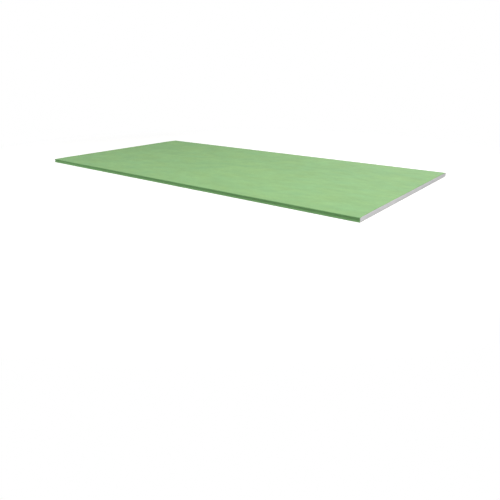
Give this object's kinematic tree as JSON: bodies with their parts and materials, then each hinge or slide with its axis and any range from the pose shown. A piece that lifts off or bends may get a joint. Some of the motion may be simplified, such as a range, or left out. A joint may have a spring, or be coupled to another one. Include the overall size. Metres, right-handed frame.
{
  "type": "drywall sheet",
  "caption": "Small-format moisture-resistant gypsum board with green face paper and tapered, paper-wrapped long edges, for lining walls and ceilings.",
  "frame": {"origin": "centre of the back face, which the sheet lies on", "axes": "+X along the length, +Y across the width, +Z out of the green face"},
  "size_m": [1.2, 0.6, 0.0125],
  "materials": {
    "gypsum_core": "matte",
    "face_paper": "matte",
    "back_paper": "matte"
  },
  "bodies": {
    "root": {"gypsum_core": "gypsum_core", "face_paper": "face_paper", "back_paper": "back_paper"}
  },
  "joints": []
}
